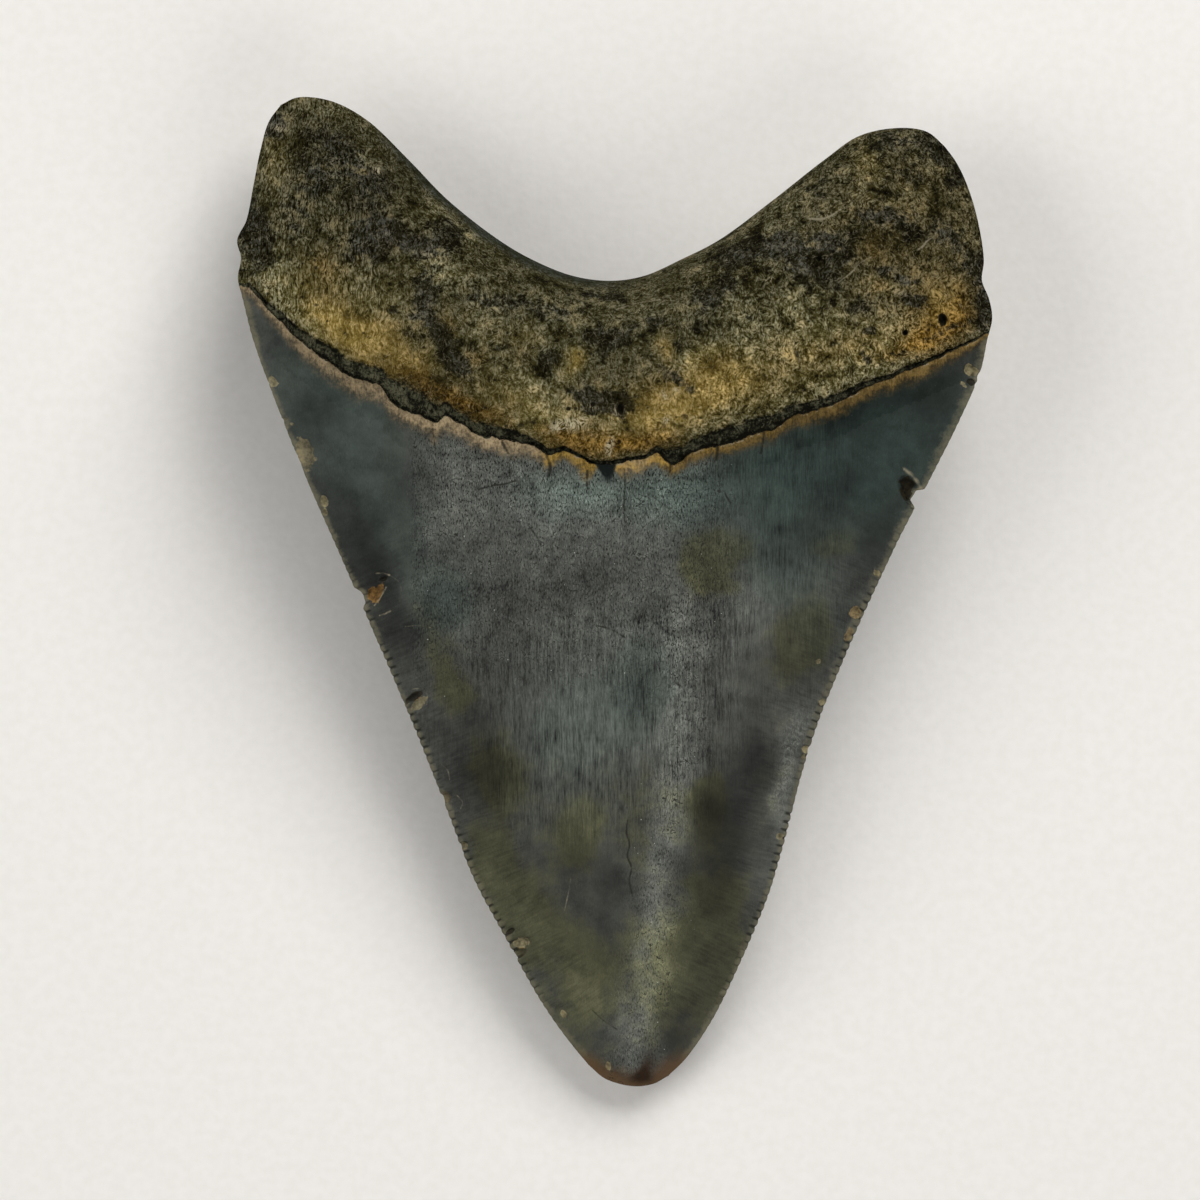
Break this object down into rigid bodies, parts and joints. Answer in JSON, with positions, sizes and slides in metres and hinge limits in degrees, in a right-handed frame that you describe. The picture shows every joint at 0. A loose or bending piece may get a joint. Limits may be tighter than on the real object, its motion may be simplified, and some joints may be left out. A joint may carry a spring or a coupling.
{
  "type": "megalodon tooth",
  "caption": "Fossil shark tooth: a broad triangular crown with serrated cutting edges, and a two-lobed root above a narrow bare neck. It lies on its convex inner face.",
  "frame": {"origin": "on the resting surface, under the centre of the tooth's bounding box", "axes": "+X across the tooth, +Y along it from the crown's tip to the root, +Z from the surface it rests on up to its flat outer (labial) face"},
  "size_m": [0.0754, 0.0992, 0.0207],
  "materials": {
    "fossil": "grey-blue fossil enamel with a soft gloss, and a matt tan-brown root with black mineral stains"
  },
  "bodies": {
    "root": {"tooth": "fossil"}
  },
  "joints": []
}
